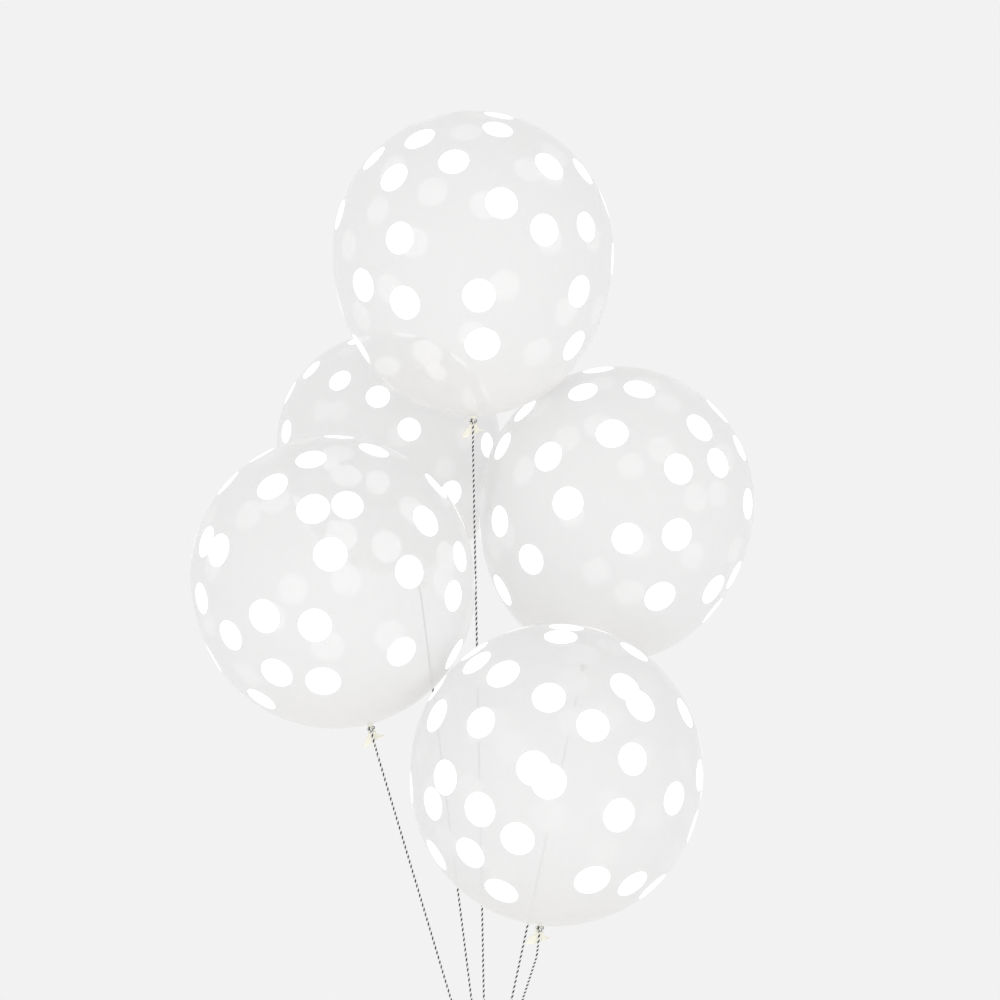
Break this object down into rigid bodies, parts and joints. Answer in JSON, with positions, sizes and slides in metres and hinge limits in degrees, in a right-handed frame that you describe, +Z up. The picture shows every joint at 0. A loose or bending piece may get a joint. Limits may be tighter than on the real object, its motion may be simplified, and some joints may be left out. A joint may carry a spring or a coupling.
{
  "type": "bunch of clear polka-dot balloons",
  "caption": "Bunch of clear, helium-filled latex balloons with white polka dots, on two-colour twine strings that meet in one gather knot with a hand loop.",
  "frame": {"origin": "centre of the gather knot, where the strings meet and the bunch is held", "axes": "+Z up through the bunch, +X to the right balloon's side, -Y towards the front balloon"},
  "size_m": [0.5617, 0.5628, 1.0342],
  "materials": {
    "film": "milky clear, glossy",
    "dot_ink": "opaque white print, satin",
    "tied_latex": "unstretched cream latex, satin",
    "twine": "two-ply cotton, one ply black and one white"
  },
  "bodies": {
    "bunch": {"gather_knot": "twine", "hand_loop": "twine", "cut_ends": "twine", "top_string": "twine"},
    "top_neck": {"top_hitch": "twine", "top_neck_knot": "tied_latex", "top_tail": "tied_latex", "top_rolled_lip": "tied_latex"},
    "top_balloon": {"top_envelope": "film"},
    "rear_neck": {"rear_hitch": "twine", "rear_neck_knot": "tied_latex", "rear_tail": "tied_latex", "rear_rolled_lip": "tied_latex"},
    "rear_balloon": {"rear_envelope": "film"},
    "rear_string": {"rear_string": "twine"},
    "left_neck": {"left_hitch": "twine", "left_neck_knot": "tied_latex", "left_tail": "tied_latex", "left_rolled_lip": "tied_latex"},
    "left_balloon": {"left_envelope": "film"},
    "left_string": {"left_string": "twine"},
    "right_neck": {"right_hitch": "twine", "right_neck_knot": "tied_latex", "right_tail": "tied_latex", "right_rolled_lip": "tied_latex"},
    "right_balloon": {"right_envelope": "film"},
    "right_string": {"right_string": "twine"},
    "front_neck": {"front_hitch": "twine", "front_neck_knot": "tied_latex", "front_tail": "tied_latex", "front_rolled_lip": "tied_latex"},
    "front_balloon": {"front_envelope": "film"},
    "front_string": {"front_string": "twine"}
  },
  "joints": [
    {"name": "top_spin", "type": "hinge", "parent": "bunch", "child": "top_neck", "pos_m": [-0.01293, -0.00483, 0.66585], "axis": [0, 0, 1], "continuous": true},
    {"name": "top_nod", "type": "hinge", "parent": "top_neck", "child": "top_balloon", "pos_m": [-0.01293, -0.00483, 0.69695], "axis": [1, 0, 0], "range_deg": [0, 12], "stiffness_Nm_per_rad": 0.0242},
    {"name": "rear_sway", "type": "hinge", "parent": "bunch", "child": "rear_string", "pos_m": [-0.00114, 0.00234, 0.007], "axis": [-0.8988, -0.4384, 0], "range_deg": [0, 25], "stiffness_Nm_per_rad": 0.062, "springref_deg": -16.9},
    {"name": "rear_spin", "type": "hinge", "parent": "rear_string", "child": "rear_neck", "pos_m": [-0.06811, 0.13964, 0.50981], "axis": [-0.2096, 0.179, 0.9613], "continuous": true},
    {"name": "rear_nod", "type": "hinge", "parent": "rear_neck", "child": "rear_balloon", "pos_m": [-0.07463, 0.14521, 0.5397], "axis": [-0.893, -0.4355, -0.1136], "range_deg": [0, 12], "stiffness_Nm_per_rad": 0.0124, "springref_deg": -15.99},
    {"name": "left_sway", "type": "hinge", "parent": "bunch", "child": "left_string", "pos_m": [-0.00227, -0.00126, 0.007], "axis": [0.4863, -0.8738, 0], "range_deg": [0, 25], "stiffness_Nm_per_rad": 0.075, "springref_deg": -18.28},
    {"name": "left_spin", "type": "hinge", "parent": "left_string", "child": "left_neck", "pos_m": [-0.10548, -0.05871, 0.36417], "axis": [-0.2447, -0.0339, 0.969], "continuous": true},
    {"name": "left_nod", "type": "hinge", "parent": "left_neck", "child": "left_balloon", "pos_m": [-0.11309, -0.05977, 0.39431], "axis": [0.4843, -0.8701, 0.0918], "range_deg": [0, 12], "stiffness_Nm_per_rad": 0.0202, "springref_deg": -14.32},
    {"name": "right_sway", "type": "hinge", "parent": "bunch", "child": "right_string", "pos_m": [0.0023, 0.00122, 0.007], "axis": [-0.4695, 0.8829, 0], "range_deg": [0, 25], "stiffness_Nm_per_rad": 0.091, "springref_deg": -13.98},
    {"name": "right_spin", "type": "hinge", "parent": "right_string", "child": "right_neck", "pos_m": [0.09329, 0.0496, 0.42035], "axis": [0.2068, 0.0794, 0.9751], "continuous": true},
    {"name": "right_nod", "type": "hinge", "parent": "right_neck", "child": "right_balloon", "pos_m": [0.09972, 0.05207, 0.45067], "axis": [-0.4693, 0.8826, 0.0277], "range_deg": [0, 12], "stiffness_Nm_per_rad": 0.0242, "springref_deg": -12.78},
    {"name": "front_sway", "type": "hinge", "parent": "bunch", "child": "front_string", "pos_m": [0.00094, -0.00242, 0.007], "axis": [0.9317, 0.3633, 0], "range_deg": [0, 25], "stiffness_Nm_per_rad": 0.054, "springref_deg": -37.59},
    {"name": "front_spin", "type": "hinge", "parent": "front_string", "child": "front_neck", "pos_m": [0.04897, -0.12561, 0.17869], "axis": [0.1044, -0.0521, 0.9932], "continuous": true},
    {"name": "front_nod", "type": "hinge", "parent": "front_neck", "child": "front_balloon", "pos_m": [0.05222, -0.12723, 0.20958], "axis": [0.9288, 0.3621, -0.0787], "range_deg": [0, 12], "stiffness_Nm_per_rad": 0.0204, "springref_deg": -6.7}
  ]
}
